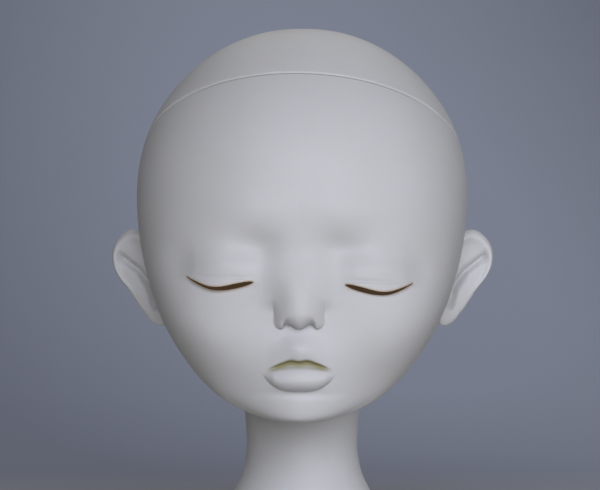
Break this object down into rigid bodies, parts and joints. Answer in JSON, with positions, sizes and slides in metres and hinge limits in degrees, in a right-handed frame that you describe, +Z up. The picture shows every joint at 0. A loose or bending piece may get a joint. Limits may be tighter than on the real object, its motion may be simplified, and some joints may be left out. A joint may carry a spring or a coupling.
{
  "type": "ball-jointed doll head",
  "caption": "Blank resin doll head with closed-eye slits and moulded ears, on a ball-topped neck, held by a hook and elastic, with a magnet-held lift-off cap.",
  "frame": {"origin": "centre of the foot's underside, on the neck's axis, at floor height", "axes": "+Z up from the foot to the crown, -Y out of the face, +X to the doll's left"},
  "size_m": [0.07, 0.0669, 0.0911],
  "materials": {
    "resin": "cast ivory-white resin, bare, with a soft matte sheen",
    "steel": "bent steel wire and bar, dull polished",
    "magnet": "nickel-plated disc, bright",
    "elastic": "white braided cover over a rubber core"
  },
  "bodies": {
    "neck_body": {"neck": "resin"},
    "elastic_body": {"elastic_loop": "elastic", "elastic_anchor_bar": "steel"},
    "hook_body": {"s_hook": "steel"},
    "head_body": {"head_shell": "resin", "shell_magnet_left": "magnet", "shell_magnet_front": "magnet", "shell_magnet_right": "magnet", "shell_magnet_back": "magnet"},
    "cap_body": {"head_cap": "resin", "cap_magnet_left": "magnet", "cap_magnet_front": "magnet", "cap_magnet_right": "magnet", "cap_magnet_back": "magnet"}
  },
  "joints": [
    {"name": "head_turn", "type": "hinge", "parent": "neck_body", "child": "elastic_body", "pos_m": [0, 0, 0.0227], "axis": [0, 0, 1], "range_deg": [-90, 90]},
    {"name": "head_tilt", "type": "hinge", "parent": "elastic_body", "child": "hook_body", "pos_m": [0, 0, 0.0227], "axis": [0, 1, 0], "range_deg": [-15, 15]},
    {"name": "head_nod", "type": "hinge", "parent": "hook_body", "child": "head_body", "pos_m": [0, 0, 0.0227], "axis": [1, 0, 0], "range_deg": [-25, 20]},
    {"name": "cap_lift", "type": "slide", "parent": "head_body", "child": "cap_body", "axis": [0.0227, 0.5074, 0.8614], "range_m": [0, 0.06]}
  ]
}
